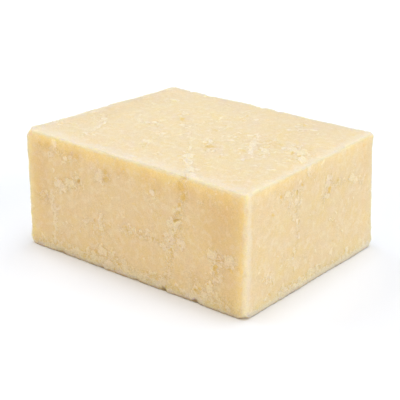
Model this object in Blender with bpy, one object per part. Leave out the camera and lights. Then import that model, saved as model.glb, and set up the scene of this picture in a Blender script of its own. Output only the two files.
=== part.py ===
"""A block of pale, crumbly cheese, cut by hand from a larger one. It is one solid.

+X runs along the long side, -Y is the wide cut face at the front, +Z is up, and the origin is
the middle of the underside. Lengths below are in millimetres, and the mesh is made in metres.

The form is a box with eight slightly unequal corners and soft edges. Its faces are a little
uneven, and curd has broken away along a crack, at the corners and in shallow hollows.
"""

import math

import bmesh
import bpy
import numpy as np

MM = 0.001
NO_LENGTH = 1e-6

LENGTH = 112.8
WIDTH = 89.6
HEIGHT = 50.0
HALF = np.array([LENGTH, WIDTH, HEIGHT]) / 2

# How far the knife strayed at each corner, from a true box. The key is the corner's (x, y, z) side.
CORNER_STRAY = {
    (-1, -1, 1): (-0.5, -0.1, 1.0),
    (-1, 1, 1): (1.1, 0.9, -0.3),
    (1, 1, 1): (-1.5, -0.9, -0.1),
    (1, -1, 1): (0.9, 0.3, -0.8),
    (-1, -1, -1): (-0.6, -0.7, 0.0),
    (-1, 1, -1): (0.0, 0.0, 0.0),
    (1, 1, -1): (0.3, 0.0, 0.0),
    (1, -1, -1): (0.3, 0.5, 0.0),
}

# How deep each corner is worn away, along its own diagonal.
CORNER_WEAR = {
    (-1, -1, 1): 2.1,
    (-1, 1, 1): 1.1,
    (1, 1, 1): 1.0,
    (1, -1, 1): 0.9,
    (-1, -1, -1): 1.5,
    (-1, 1, -1): 1.3,
    (1, 1, -1): 1.8,
    (1, -1, -1): 1.7,
}
WEAR_BLEND = 0.5
WEAR_REACH = 12.0

EDGE_RADIUS = 1.3
CELLS = (36, 28, 17)
ROUNDING_CELLS = 2

# Smooth unevenness of the cut faces: how many waves, their longest and shortest, and their usual height.
WAVES = 24
LONGEST_WAVE = 64.0
SHORTEST_WAVE = 13.0
WAVE_HEIGHT = 0.14
WAVE_SEED = 7

# The crack down the front face: (x, height) along it, and how wide and deep it is.
CRACK = ((27.0, 50.0), (27.0, 41.5), (25.5, 35.0), (24.0, 27.0), (21.0, 16.0))
CRACK_HALF_WIDTH = 1.9
CRACK_DEPTH = 1.1

# Shallow hollows where curd fell out: ((x, y, z), radius, depth), each centred on the surface.
HOLLOWS = (
    ((-27.3, -44.6, 34.6), 3.4, 0.8),
    ((-44.5, -44.6, 45.4), 3.2, 0.6),
    ((-11.0, -44.6, 39.2), 3.4, 0.6),
    ((-2.0, -44.6, 20.2), 3.6, 0.6),
    ((9.5, -44.6, 4.8), 3.8, 0.9),
    ((33.5, -44.6, 4.2), 5.0, 1.0),
    ((43.0, -44.6, 17.8), 4.2, 0.9),
    ((22.0, -44.6, 25.7), 4.4, 1.0),
    ((26.8, -44.4, 49.5), 3.6, 1.2),
    ((56.4, -10.5, 40.2), 4.0, 0.7),
    ((56.4, 10.2, 35.4), 3.2, 0.6),
    ((56.4, -28.0, 11.7), 3.6, 0.7),
    ((56.4, -6.0, 3.6), 4.0, 0.7),
    ((48.0, 2.4, 49.5), 3.8, 0.8),
    ((26.4, -4.0, 49.6), 3.4, 0.5),
    ((-9.0, -25.7, 50.1), 3.4, 0.5),
    ((-18.4, 9.8, 50.0), 3.2, 0.5),
    ((13.4, -29.0, 49.7), 3.6, 0.6),
    ((-22.0, 44.8, 32.2), 4.2, 0.9),
    ((16.0, 44.5, 13.2), 4.6, 0.9),
    ((38.0, 44.3, 37.2), 3.6, 0.7),
    ((-55.9, 17.0, 21.2), 4.4, 0.9),
    ((-56.2, -20.0, 36.2), 3.8, 0.7),
)

CHEESE_COLOUR = (0.887, 0.730, 0.445, 1.0)
CHEESE_ROUGHNESS = 0.55


def clear_scene():
    for thing in list(bpy.data.objects):
        bpy.data.objects.remove(thing, do_unlink=True)


def lies_along(edge, axis):
    first, second = (vertex.co for vertex in edge.verts)
    return abs(first[axis] - second[axis]) > NO_LENGTH


def divided_cube():
    """A cube from -1 to 1 whose faces are cut into CELLS cells along x, y and z."""
    mesh = bmesh.new()
    bmesh.ops.create_cube(mesh, size=2.0)
    for axis, cells in enumerate(CELLS):
        edges = [edge for edge in mesh.edges if lies_along(edge, axis)]
        bmesh.ops.subdivide_edges(mesh, edges=edges, cuts=cells - 1, use_grid_fill=True)
    return mesh


def spaced(cube_points):
    """Stretch the even cube to the box, with narrow cells where the edges are rounded."""
    box = np.empty_like(cube_points)
    for axis, cells in enumerate(CELLS):
        turn = 1 - 2 * ROUNDING_CELLS / cells
        flat = HALF[axis] - EDGE_RADIUS
        steps = (-1, -turn, turn, 1)
        places = (-HALF[axis], -flat, flat, HALF[axis])
        box[:, axis] = np.interp(cube_points[:, axis], steps, places)
    return box


def rounded(box):
    """Draw each point in to EDGE_RADIUS from the core, a box that is smaller by that radius."""
    core = np.clip(box, EDGE_RADIUS - HALF, HALF - EDGE_RADIUS)
    outward = box - core
    outward /= np.linalg.norm(outward, axis=1, keepdims=True)
    return core + EDGE_RADIUS * outward, outward


def skewed(points):
    """Add each corner's stray, in the share that a point's place in the box gives to that corner."""
    moved = points.copy()
    for corner, stray in CORNER_STRAY.items():
        share = np.prod((1 + np.array(corner) * points / HALF) / 2, axis=1)
        moved += share[:, None] * np.array(stray)
    return moved


def unevenness(points):
    """The sum of plane waves that run in seeded directions. Its root mean square is WAVE_HEIGHT."""
    rng = np.random.default_rng(WAVE_SEED)
    total = np.zeros(len(points))
    for length in np.geomspace(LONGEST_WAVE, SHORTEST_WAVE, WAVES):
        way = rng.normal(size=3)
        way /= np.linalg.norm(way)
        start = rng.uniform(0, math.tau)
        total += np.sin(points @ way * (math.tau / length) + start)
    return total * WAVE_HEIGHT * math.sqrt(2 / WAVES)


def crack_depth(points):
    """How deep the crack is at each point, falling off as a bell across its path on the front face."""
    place = points[:, [0, 2]]
    nearest = np.full(len(points), np.inf)
    for start, end in zip(CRACK, CRACK[1:]):
        start = np.array(start)
        run = np.array(end) - start
        along = np.clip((place - start) @ run / (run @ run), 0, 1)
        away = np.linalg.norm(place - start - along[:, None] * run, axis=1)
        nearest = np.minimum(nearest, away)
    in_front = points[:, 1] < -HALF[1] + 3 * EDGE_RADIUS
    return np.where(in_front, CRACK_DEPTH * np.exp(-((nearest / CRACK_HALF_WIDTH) ** 2)), 0.0)


def hollow_depth(points):
    """How deep the shallow hollows are at each point. Each is deepest in its middle, with a soft rim."""
    total = np.zeros(len(points))
    for centre, radius, depth in HOLLOWS:
        away = np.linalg.norm(points - np.array(centre), axis=1) / radius
        total += depth * np.clip(1 - away**2, 0, None) ** 1.5
    return total


def softly_over(proud):
    """proud where it is over WEAR_BLEND, 0 where it is under -WEAR_BLEND, and a parabola between."""
    rising = np.clip(proud + WEAR_BLEND, 0, None) ** 2 / (4 * WEAR_BLEND)
    return np.where(proud < WEAR_BLEND, rising, proud)


def worn(points):
    """Push each corner's tip back to a plane across its diagonal, with a soft change at its rim."""
    moved = points.copy()
    for corner, wear in CORNER_WEAR.items():
        side = np.array(corner)
        tip = HALF * side + np.array(CORNER_STRAY[corner]) + np.array([0, 0, HALF[2]])
        diagonal = side / math.sqrt(3)
        cut = softly_over((moved - tip) @ diagonal + wear)
        nearby = np.linalg.norm(moved - tip, axis=1) < WEAR_REACH
        moved -= np.where(nearby, cut, 0.0)[:, None] * diagonal
    return moved


def block_points(cube_points):
    points, outward = rounded(spaced(cube_points))
    points = skewed(points)
    points[:, 2] += HALF[2]
    below = np.clip(-outward[:, 2], 0, 1)
    relief = unevenness(points) - crack_depth(points) - hollow_depth(points)
    points += (relief * (1 - below))[:, None] * outward
    points = worn(points)
    points[:, 2] = np.maximum(points[:, 2], 0.0)
    middle = (points.min(axis=0) + points.max(axis=0)) / 2
    return points - np.array([middle[0], middle[1], 0.0])


def cheese_material():
    material = bpy.data.materials.new("pale_cheese")
    material.use_nodes = True
    shader = material.node_tree.nodes["Principled BSDF"]
    shader.inputs["Base Color"].default_value = CHEESE_COLOUR
    shader.inputs["Roughness"].default_value = CHEESE_ROUGHNESS
    shader.inputs["Metallic"].default_value = 0.0
    return material


def cheese_block():
    mesh = divided_cube()
    points = block_points(np.array([vertex.co for vertex in mesh.verts]))
    for vertex, point in zip(mesh.verts, points):
        vertex.co = point * MM
    bmesh.ops.recalc_face_normals(mesh, faces=mesh.faces)
    data = bpy.data.meshes.new("cheese_block")
    mesh.to_mesh(data)
    mesh.free()
    data.materials.append(cheese_material())
    data.shade_smooth()
    block = bpy.data.objects.new("cheese_block", data)
    bpy.context.scene.collection.objects.link(block)


clear_scene()
cheese_block()
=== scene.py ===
"""The looks of a hand-cut block of pale, crumbly cheese: its curd, its colours and its studio.

The block is one closed surface, worked out in two steps. First, in the frame of a true box, points on a
box shell are rounded at its edges, and pushed in and out along their outward direction by the relief:
slow waves, grains of curd, pits, lumps and crumbled edges. Then the box is skewed to the uneven corners
that the knife left. Marks are placed in the true box. Its origin is the middle of the underside.
Lengths in the script are millimetres. Meshes and the studio's own sizes are metres.
"""

import math

import bpy
import numpy as np
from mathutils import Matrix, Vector


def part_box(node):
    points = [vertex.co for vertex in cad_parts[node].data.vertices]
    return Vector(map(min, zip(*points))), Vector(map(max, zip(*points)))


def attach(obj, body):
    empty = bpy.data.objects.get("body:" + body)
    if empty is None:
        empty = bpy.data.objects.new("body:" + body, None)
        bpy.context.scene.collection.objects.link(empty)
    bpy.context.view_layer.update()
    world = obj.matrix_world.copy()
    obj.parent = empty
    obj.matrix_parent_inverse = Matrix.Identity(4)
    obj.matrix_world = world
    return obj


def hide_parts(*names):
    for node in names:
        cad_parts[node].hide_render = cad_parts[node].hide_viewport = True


bl_info = {
    "name": "Crumbly Cheese Block",
    "version": (1, 0, 0),
    "blender": (4, 5, 0),
    "location": "3D View > Sidebar > Cheese",
    "description": "Makes a block of pale, crumbly cheese and the studio it stands in",
    "category": "Object",
}

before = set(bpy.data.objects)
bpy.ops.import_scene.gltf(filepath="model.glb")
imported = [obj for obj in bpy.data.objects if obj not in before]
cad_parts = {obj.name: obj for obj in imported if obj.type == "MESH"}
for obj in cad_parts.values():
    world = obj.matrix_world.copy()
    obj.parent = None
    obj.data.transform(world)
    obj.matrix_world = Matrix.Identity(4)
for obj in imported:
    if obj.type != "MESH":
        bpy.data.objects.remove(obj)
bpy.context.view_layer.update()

NODE = "cheese_block"
BODY = "root"
MM = 0.001

CAD_LOW, CAD_HIGH = (np.array(corner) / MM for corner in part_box(NODE))

# The knife strayed at each corner by this much from a true box. The key is the corner's (x, y, z) side.
CORNER_STRAY = {
    (-1, -1, 1): (-0.5, -0.1, 1.0),
    (-1, 1, 1): (1.1, 0.9, -0.3),
    (1, 1, 1): (-1.5, -0.9, -0.1),
    (1, -1, 1): (0.9, 0.3, -0.8),
    (-1, -1, -1): (-0.6, -0.7, 0.0),
    (-1, 1, -1): (0.0, 0.0, 0.0),
    (1, 1, -1): (0.3, 0.0, 0.0),
    (1, -1, -1): (0.3, 0.5, 0.0),
}

# How deep each corner is worn away along its own diagonal.
CORNER_WEAR = {
    (-1, -1, 1): 2.1,
    (-1, 1, 1): 1.1,
    (1, 1, 1): 0.9,
    (1, -1, 1): 0.7,
    (-1, -1, -1): 1.5,
    (-1, 1, -1): 1.3,
    (1, 1, -1): 1.8,
    (1, -1, -1): 1.7,
}
WEAR_BLEND = 0.4
WEAR_REACH = 12.0
WEAR_ROUGHNESS = 0.25

# The true box: the CAD solid's box, less the room that stray corners take of it.
STRAY_ROOM = np.array([2.28, 2.44, 1.2])
HALF = (CAD_HIGH - CAD_LOW - STRAY_ROOM) / 2
MIDDLE = np.array([0.0, 0.0, HALF[2]])

# How much larger the edge radius is down the upright edges, how much smaller at the foot, as shares of
# the usual one, and how far from the top and the foot the change reaches.
UPRIGHT_MORE = 0.6
FOOT_LESS = 1.2
EDGE_BLEND = 7.0

# Slow unevenness of the cut faces: how many waves, their longest and shortest, and their usual height.
WAVES = 24
LONGEST_WAVE = 64.0
SHORTEST_WAVE = 13.0
WAVE_HEIGHT = 0.12
WAVE_SEED = 7

# Sizes of the crumbs, and of the holes where crumbs fell out.
LARGE_CRUMB = 1.9
SMALL_CRUMB = 1.05
HOLE = 1.0

# Heights and depths of the relief, where it is strongest.
SCRATCH_HEIGHT = 0.012
CUT_GRAIN_HEIGHT = 0.012
BROKEN_GRAIN_HEIGHT = 0.038
LUMP_HEIGHT = 0.22
LARGE_CRUMB_HEIGHT = 0.17
SMALL_CRUMB_HEIGHT = 0.09
LARGE_CREASE_DEPTH = 0.03
SMALL_CREASE_DEPTH = 0.02
HOLE_DEPTH = 0.16
PIT_DEPTH = 0.5
TORN_EDGE_DEPTH = 0.26
BRUISED_EDGE_DEPTH = 0.12
UNDERCUT_DEPTH = 0.4

# The edges crumble over this reach. The underside has this share of the relief, and is lifted this far
# inside its edges, so that it stands on its edges and its highest crumbs.
EDGE_REACH = 1.5
UNDER_SHARE = 0.35
UNDER_LIFT = 0.15

# The side that the right, the front and the top face along x, y and z.
TOWARDS_VIEW = np.array([1, -1, 1])

# How far from its edge each colour share starts, and how far from it the share is full.
# The rim inside the edges is a painted glow of light passing through them.
RIM_OUTER_END = (0.3, 1.8)
RIM_INNER_END = (9.0, 3.0)
# Painted bounce light: the curd lighter and yellower over the floor.
FLOOR_BOUNCE = (7.0, 1.2)
# The foot's tint is painted contact shade where the block meets the floor.
SHADED_FOOT = (1.0, 0.2)
# Paler curd beside the prow, and along the front and right edges of the top.
PALE_PROW = (3.0, 0.2)
PALE_RIGHT = (5.2, 1.2)
PALE_TOP_FRONT = (10.0, 2.5)
PALE_TOP_RIGHT = (6.0, 1.5)
PALE_UNDER_TOP = (2.4, 0.6)
# The line along the edges, and the halo over the far side of the top, are painted shade.
UPRIGHT_LINE = (2.6, 0.9)
UPRIGHT_HALO = (8.0, 1.5)
TOP_LINE = (1.6, 0.4)
BACK_LINE = (4.5, 0.5)
LEFT_LINE = (6.0, 0.5)
FAR_HALO = (30.0, 3.0)

# Sizes of the noises in the cheese's material.
DRIFT_SIZE = 6.0
BLUSH_SIZE = 5.0
MOTTLE_SIZE = 2.6
SHINE_SIZE = 2.2
TORN_SIZE = 1.6
OUTLINE_SIZE = 1.1
DOT_SIZE = 0.95
FLECK_SIZE = 0.9
ROUGH_SIZE = 0.6
GRAIN_SIZE = 0.42
FINE_SIZE = 0.25

# Each face's (axis it looks along, its side, its first axis, its second axis). A place belongs to a face
# when it looks that way by at least FACE_SHARE, and a crumb when it lies within NEAR_SIDE of it.
FACE_SHARE = 0.35
NEAR_SIDE = 2.5
FACES = {
    "front": (1, -1, 0, 2),
    "right": (0, 1, 1, 2),
    "top": (2, 1, 0, 1),
    "back": (1, 1, 0, 2),
    "left": (0, -1, 1, 2),
    "under": (2, -1, 0, 1),
}

# Marks are ellipses: (place along the face, place up or across it, half width, half height, turn in
# degrees, strength). A pit's strength is its depth.
PITS = {
    "front": (
        (-26.5, 34, 0.9, 0.8, 30, 0.9), (-28, 33, 0.6, 0.5, 0, 0.3), (-37, 32.5, 1.6, 0.5, 5, 0.2),
        (-36, 27, 2.4, 0.5, 10, 0.2), (-11.5, 41.5, 0.8, 0.9, 0, 0.4), (-11, 38.5, 1, 1.4, 20, 0.4),
        (-1, 21.5, 1, 0.6, 35, 0.5), (26.5, 46, 1.9, 1.6, 20, 0.2), (27, 41.5, 1.3, 1.5, 0, 0.35),
        (25.5, 38, 0.8, 1.2, 0, 0.3), (24, 31.2, 1.2, 0.5, 45, 0.8), (27, 28.5, 0.7, 0.5, 0, 0.3),
        (23.5, 25.5, 0.7, 1.1, -20, 0.4), (21.5, 18.5, 0.7, 0.7, 0, 0.45), (22, 16.5, 1.1, 1.2, 0, 0.3),
        (15, 20.5, 0.9, 0.7, 0, 0.4), (12.5, 20, 0.7, 0.5, 0, 0.2), (6.5, 20.5, 0.9, 0.5, 20, 0.2),
        (42.5, 17.5, 0.9, 1.1, 0, 0.4), (43, 15.5, 0.8, 0.8, 0, 0.4), (41, 12.5, 0.4, 0.8, 0, 0.4),
        (39, 9.5, 0.6, 0.5, 0, 0.3), (35, 6.5, 0.9, 0.7, 0, 0.5), (33.5, 5, 0.8, 0.6, 0, 0.4),
        (49.5, 18.5, 1.2, 1.1, 0, 0.3), (45, 21.5, 1.3, 0.4, 0, 0.3), (19, 2, 0.5, 1.5, 0, 0.7),
        (9.5, 5.5, 0.9, 0.7, 0, 0.3), (-17.5, 7, 0.9, 1, 0, 0.3), (-25.5, 3, 1.5, 1.2, 0, 0.2),
        (-32, 5, 0.8, 0.7, 0, 0.2), (-45, 3.5, 1.2, 0.8, 0, 0.2), (-47.5, 45, 0.9, 1.4, 0, 0.2),
        (-43, 45, 1.1, 1.4, 0, 0.2), (-26.5, 44.5, 1.3, 0.9, 0, 0.2), (3, 32.5, 0.8, 0.5, 0, 0.2),
    ),
    "right": (
        (-23.5, 42.5, 0.7, 0.5, 0, 0.5), (-12.5, 41.5, 0.4, 0.8, 20, 0.8),
        (-12.5, 40.5, 0.6, 0.4, 0, 0.6), (-9, 43, 0.9, 0.4, -20, 0.5), (-28.5, 37, 0.9, 0.6, -40, 0.4),
        (-13, 33.5, 0.6, 0.6, 0, 0.4), (10.5, 35.5, 1.5, 1.2, 0, 0.45), (10.5, 37.5, 0.8, 0.5, 0, 0.3),
        (11.5, 32, 0.5, 0.4, 0, 0.2), (-11, 28.5, 0.5, 1.3, 5, 0.3), (-11.5, 20.5, 0.4, 0.9, 0, 0.2),
        (-29, 14, 0.8, 0.5, 0, 0.3), (-16, 17.5, 0.7, 0.9, 20, 0.2), (24, 37, 0.7, 0.4, 0, 0.2),
    ),
    "top": (
        (-6, -28, 1.8, 1.8, -30, 0.2), (-17, 7.5, 0.9, 2.4, 40, 0.4), (-23, 12, 0.7, 2, 40, 0.2),
        (12.5, -29, 1.2, 1.2, 20, 0.4), (16.5, -32.5, 1, 1.5, 40, 0.3), (2.5, 5, 2.2, 1.2, -20, 0.3),
        (14.5, -12.5, 1.3, 1.4, 40, 0.4), (11, -12, 0.9, 1.1, 0, 0.2), (1.5, 28.5, 0.7, 1.5, 30, 0.3),
        (4, 22.5, 1.3, 1.2, 0, 0.3), (31.5, -2.5, 0.8, 1.5, 30, 0.25), (27, -7.5, 1.2, 0.9, 0, 0.3),
        (30, 4.5, 1.4, 1.2, 40, 0.12), (34.5, 7.5, 2.2, 1.2, 10, 0.25), (36.5, 14.5, 0.8, 1.1, 0, 0.2),
        (40, 10, 0.7, 1.4, 20, 0.2), (43.5, 2, 0.7, 1.8, 30, 0.4), (48, 0.5, 0.9, 1, 0, 0.65),
        (27.5, 34, 0.8, 2.2, 30, 0.3),
    ),
}
LUMPS = {
    "front": (
        (-37, 30, 2.2, 1.8, 0, 1), (-34.5, 29.5, 1.6, 1.2, 0, 0.8), (-31, 32.5, 2, 1.7, 20, 1),
        (-15, 38.5, 2.5, 1.6, 10, 0.8), (-41.5, 42, 1.6, 1.4, 0, 0.6), (-30.5, 43, 1.2, 1.6, 0, 0.6),
        (-4.5, 41.5, 0.7, 2, -15, 0.4), (13.5, 38, 1.3, 0.9, 0, 0.5), (36, 41.5, 1.5, 1.1, 0, 0.5),
        (35, 35.5, 0.7, 0.6, 0, 0.4), (23, 29.3, 3, 1.5, 15, 1.2), (21.5, 25.5, 1.4, 1.6, 0, 0.6),
        (19.5, 23.5, 2, 1.6, 0, 0.5), (26.5, 22.5, 1.9, 2.6, 0, 0.7), (30, 24.5, 0.7, 1, 0, 0.5),
        (18.5, 18.5, 2, 1.5, 0, 0.6), (-14.5, 19.5, 0.9, 2.8, 0, 0.7), (-23.5, 18, 1.7, 1.6, 30, 0.5),
        (-0.5, 19, 2, 0.9, 0, 0.5), (2, 22, 1.2, 0.9, 40, 0.6), (7.5, 19.5, 1.5, 1, 0, 0.5),
        (41, 22.5, 1.8, 1.8, 0, 0.8), (49, 22.5, 2, 2, 0, 0.8), (46.5, 19.5, 2, 1.2, 0, 0.4),
        (44.5, 14, 1.8, 1.2, 0, 0.6), (40, 7.7, 1.6, 1.8, 0, 1), (37.5, 4, 1.4, 1.8, 0, 0.7),
        (31, 2.5, 2, 1.5, 0, 0.9), (34.5, 2.5, 1.5, 1.1, 0, 0.8), (20.5, 8.5, 0.9, 1.8, 0, 0.5),
        (19, 13, 1.2, 1.2, 0, 0.4), (15.5, 3, 1.9, 1.1, 0, 0.7), (13, 6.5, 1.3, 1, 0, 0.6),
        (8.5, 3.5, 1.5, 1.3, 0, 0.7), (-2, 3.5, 0.9, 2, 0, 0.6), (-10.5, 3, 2, 1.6, 0, 0.8),
        (-14.5, 7.5, 1.2, 1.4, 0, 0.6), (-19, 5.5, 1.5, 1.4, 0, 0.7), (-29.5, 3.5, 1.8, 1.1, 0, 0.7),
        (-39, 3, 1.6, 1.6, 0, 0.8), (-48, 23, 1.9, 1.2, 0, 0.5),
    ),
    "right": (
        (-19, 42.5, 1.6, 1.3, 20, 0.6), (-17.5, 37.5, 1, 1.7, 0, 0.5), (-5, 47, 1.3, 1.5, 0, 0.6),
        (-14.5, 31.5, 1.4, 1.8, 0, 0.5), (8.5, 38.5, 1.6, 2.4, 12, 1), (8.5, 33.5, 1.7, 1, 0, 0.6),
        (15, 35.5, 1.7, 0.9, 0, 0.4), (20.5, 36, 1.6, 1.2, 0, 0.4), (26, 35.5, 2.4, 1.6, 0, 0.8),
        (29.5, 34, 1.6, 1.4, 0, 0.6), (34.5, 31.5, 1.4, 0.7, -20, 0.4), (-13.5, 18, 1.3, 2, 10, 0.5),
        (-30, 11, 2.2, 1.6, -10, 0.4), (-21, 3, 1.1, 2.6, 10, 1.3), (-13, 1.5, 1.2, 1.1, 0, 1.2),
        (-9, 2.5, 1, 1.9, 10, 1.2), (-2.5, 3.5, 2.2, 2.4, 30, 1.4), (2.5, 4.5, 0.9, 1.9, -10, 1),
        (12.5, 22, 1.4, 0.8, -20, 0.4), (17, 15, 0.6, 0.6, 0, 0.6), (23, 3.5, 0.8, 1.5, 0, 0.4),
    ),
    "top": (
        (-8, -24, 1.8, 1.6, 0, 0.7), (15, -27, 1.8, 3.4, 30, 1.2), (19.5, -32, 1.7, 2.9, 40, 1.2),
        (24.5, -37.5, 1.7, 2.6, 45, 1.1), (25.5, 1, 1.4, 4, 30, 0.8), (29, -5, 1.4, 3.2, 35, 0.6),
        (23, 6, 1, 1.8, 30, 0.6), (33, -2, 2.6, 1.4, -30, 1), (36, -4, 1.5, 1, -20, 0.5),
        (42, 5, 1.7, 2.9, 30, 1.2), (46.5, 4.5, 1.5, 2.8, 30, 1.2), (51.5, -2, 1.7, 3, 35, 1.2),
        (21.5, 10, 1, 2.6, 30, 0.6), (29.5, 9.5, 1, 2, 30, 0.5), (38.5, 9, 0.9, 2, 30, 0.5),
        (-30.5, -5.5, 3, 1.2, -25, 0.6), (-21.5, -4, 2, 1.1, 0, 0.6), (-36.5, -23, 1.2, 2.2, 10, 0.5),
        (-40.5, -15, 1, 2.4, 30, 0.5), (-22.5, 15, 1.2, 2, 30, 0.5), (-42, 17, 2.4, 1.5, 0, 0.3),
        (4.5, 11.5, 1.9, 1.2, 0, 0.4), (10.5, -7.5, 1.4, 1.6, 30, 0.5), (1, 25, 1.5, 1.3, 0, 0.5),
        (-3, 30.5, 0.9, 2.2, 20, 0.4), (26.5, 31, 1.3, 1.2, 0, 0.5),
    ),
}

# Where the curd broke instead of cutting clean: (half width of the path, how broken, the path's points).
BROKEN = {
    "front": (
        (2.2, 0.8, ((27, 47.5), (27, 41), (25.5, 35))),
        (2.8, 1, ((24.5, 30), (23, 28.5), (24, 23.5), (21, 18.5))),
        (2, 0.7, ((21, 15.5), (20, 8.5), (19, 2.5))),
        (1.8, 0.7, ((-3.5, 19.5), (0.5, 21.5), (6.5, 20), (11.5, 20.5), (17.5, 19.5))),
        (3, 0.8, ((-38, 29.5), (-30.5, 32), (-26.5, 34))),
        (2.4, 0.7, ((-16.5, 38), (-11, 40))),
        (1.1, 1, ((-42, 25), (-41, 20), (-40.5, 12.5), (-41.5, 7))),
        (2.2, 0.5, ((-49.5, 22.5), (-42, 24.5))),
        (1.6, 0.7, ((-15, 23), (-14, 15.5))),
        (2.2, 0.4, ((-25.5, 16), (-21.5, 19.5))),
        (2.8, 0.9, ((40.5, 23), (45, 20.5), (49.5, 21.5))),
        (2.4, 0.9, ((43, 17.5), (44, 14), (40.5, 10.5), (38.5, 6), (33, 3.5))),
        (2.8, 0.8, ((-47.5, 2), (-29, 2.5), (-10.5, 3), (5.5, 2.5), (17.5, 3))),
        (2.4, 0.6, ((-20.5, 6), (-14.5, 8.5), (-1.5, 6.5))),
        (2.8, 0.5, ((31, 10.5), (35, 5.5), (48.5, 5))),
        (1.6, 0.5, ((-48, 44.5), (-42, 44), (-26.5, 44))),
    ),
    "right": (
        (1.8, 0.6, ((-23.5, 42.5), (-17.5, 41.5), (-12.5, 41), (-9, 43))),
        (1.5, 0.5, ((-10, 38.5), (-13, 33.5), (-11, 27), (-11.5, 20), (-14, 16))),
        (2.4, 0.8, ((9, 39), (10.5, 35), (7, 33))),
        (1.8, 0.5, ((12, 35.5), (20.5, 36), (28.5, 35), (35, 31.5))),
        (2.2, 0.4, ((-32, 12.5), (-28.5, 10))),
        (2, 0.7, ((-21.5, 3), (-9.5, 2.5), (3.5, 4))),
        (1.2, 0.4, ((6.5, 2.5), (33, 2.5))),
        (1.6, 0.3, ((10, 23), (14.5, 20.5), (17, 15))),
    ),
    "top": (
        (1.5, 1, ((28, -42.5), (22, -35.5), (17, -30.5), (14, -25), (11, -20.5))),
        (1.3, 0.6, ((11, -20.5), (3.5, -11), (-2.5, -6), (-9.5, 0), (-15.5, 6), (-24.5, 16.5))),
        (1.3, 0.7, ((-45, -9), (-40, -15.5), (-37, -21.5), (-35, -28.5), (-32.5, -36.5))),
        (1.5, 0.7, ((-34, -4), (-28.5, -7), (-21.5, -4.5), (-16.5, -6.5), (-8.5, -16))),
        (2.2, 0.8, ((-8.5, -23.5), (-5.5, -28.5))),
        (2, 0.6, ((2.5, 4.5), (5, 11.5))),
        (2.4, 0.8, ((32.5, -1.5), (35, -8.5))),
        (2, 0.6, ((-3.5, 30.5), (1, 25.5), (4.5, 21.5))),
        (2.4, 0.8, ((10, -6.5), (14.5, -12.5), (17, -17))),
        (2.4, 0.8, ((23, 4.5), (27, -3.5), (31, -8))),
        (2.4, 0.6, ((27.5, 6), (31, 2))),
        (2, 0.6, ((32, 8), (37, 7.5))),
        (2.4, 0.8, ((41.5, 7), (44, 2.5), (48, 1), (52, -3))),
        (9, 0.4, ((23, 4), (34, 0), (46, 3))),
        (1.8, 0.6, ((25, 37), (29.5, 30))),
        (1.4, 0.4, ((-9.5, 0), (-5.5, 10), (-3.5, 20))),
    ),
}

# Thin pale veins: (half width, strength, the vein's points).
VEINS = {
    "front": (
        (0.7, 0.8, ((-42.5, 25.5), (-41.5, 22), (-42.5, 19), (-40.5, 16), (-41.5, 13))),
        (1, 0.7, ((-41.5, 13), (-40.5, 10), (-42, 7.5))),
        (0.7, 0.7, ((-15, 23.5), (-14, 16))),
        (0.6, 0.5, ((-4.5, 43.5), (-4, 39))),
        (0.5, 0.5, ((0.5, 25), (1, 21.5))),
        (0.6, 0.5, ((21, 15), (20.5, 7))),
        (0.6, 0.4, ((-23, 30), (-22, 22))),
        (0.5, 0.4, ((-8.5, 32), (-7.5, 27))),
        (0.5, 0.4, ((14.5, 34), (14, 28.5))),
        (0.6, 0.4, ((32, 26), (31, 19))),
    ),
    "right": (
        (0.5, 0.6, ((-11, 30), (-11.5, 24))),
        (0.5, 0.6, ((-20.5, 7), (-21.5, 1))),
        (0.5, 0.5, ((-9.5, 6), (-9, 1))),
        (0.5, 0.5, ((3, 7.5), (2, 2))),
        (0.5, 0.4, ((8, 46), (8.5, 42))),
        (0.5, 0.4, ((23.5, 7), (23, 2))),
    ),
    "top": (
        (0.8, 0.9, ((27.5, -42), (22.5, -36), (18, -31), (14.5, -26))),
        (0.7, 0.5, ((11, -20.5), (4, -11.5), (-2.5, -6))),
        (0.7, 0.5, ((-34, -4), (-28.5, -7), (-21.5, -4.5))),
        (0.6, 0.5, ((-40, -15.5), (-37, -21.5), (-35, -28.5))),
        (0.8, 0.7, ((24, 1), (27, -3.5), (31, -8.5))),
        (0.7, 0.7, ((43, 6.5), (46.5, 2.5), (50.5, -1))),
    ),
}

# Riper patches of the cut, two strips of painted shade along the top's far side, and calm ones where the
# knife left it smooth.
RIPE_AND_SHADE = {
    "front": (
        (45, 36, 9, 11, 0, 1), (47, 28.5, 6, 5, 0, 0.7), (48.5, 11.5, 4, 9, 0, 0.6),
        (-3.5, 44.5, 3, 3, 0, 0.9), (9.5, 44, 3.5, 2.6, 0, 0.8), (15.5, 42, 2.4, 2.8, 0, 0.7),
        (28.5, 44, 5, 3, 0, 0.9), (37, 44, 3.5, 2, 0, 0.7), (-45.5, 44.5, 4, 2.6, 0, 0.9),
        (-28.5, 45, 5, 2.2, 0, 0.8), (-11.5, 40, 2.5, 2.5, 0, 0.5), (-48, 31, 4.5, 13, 0, 1),
        (-17, 7, 2, 1.6, 0, 0.6), (35, 11.5, 3, 3, 0, 0.4),
    ),
    "right": (
        (38, 36, 3, 14, 0, 0.5), (-14, 45.5, 12, 3, 0, 0.4), (12, 37, 5, 2.5, 0, 0.4),
        (-18.5, 4.5, 3.5, 1.8, 0, 0.6),
    ),
    "top": (
        (30.5, 5.5, 7, 5, 0, 0.6), (44.5, 8.5, 6, 6, 0, 0.3), (14.5, -13, 3.5, 3.5, 0, 0.5),
        # Of the marks below, (-49, 5) and (5, 41), strips along the left and the back of the top, are
        # painted shade: the top darker towards its far side.
        (-19.5, 10, 2, 6, 40, 0.5), (25.5, 24.5, 16, 14, -30, 0.2), (-49, 5, 7, 32, 0, 0.4),
        (5, 41, 45, 7, 0, 0.3),
    ),
}
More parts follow.
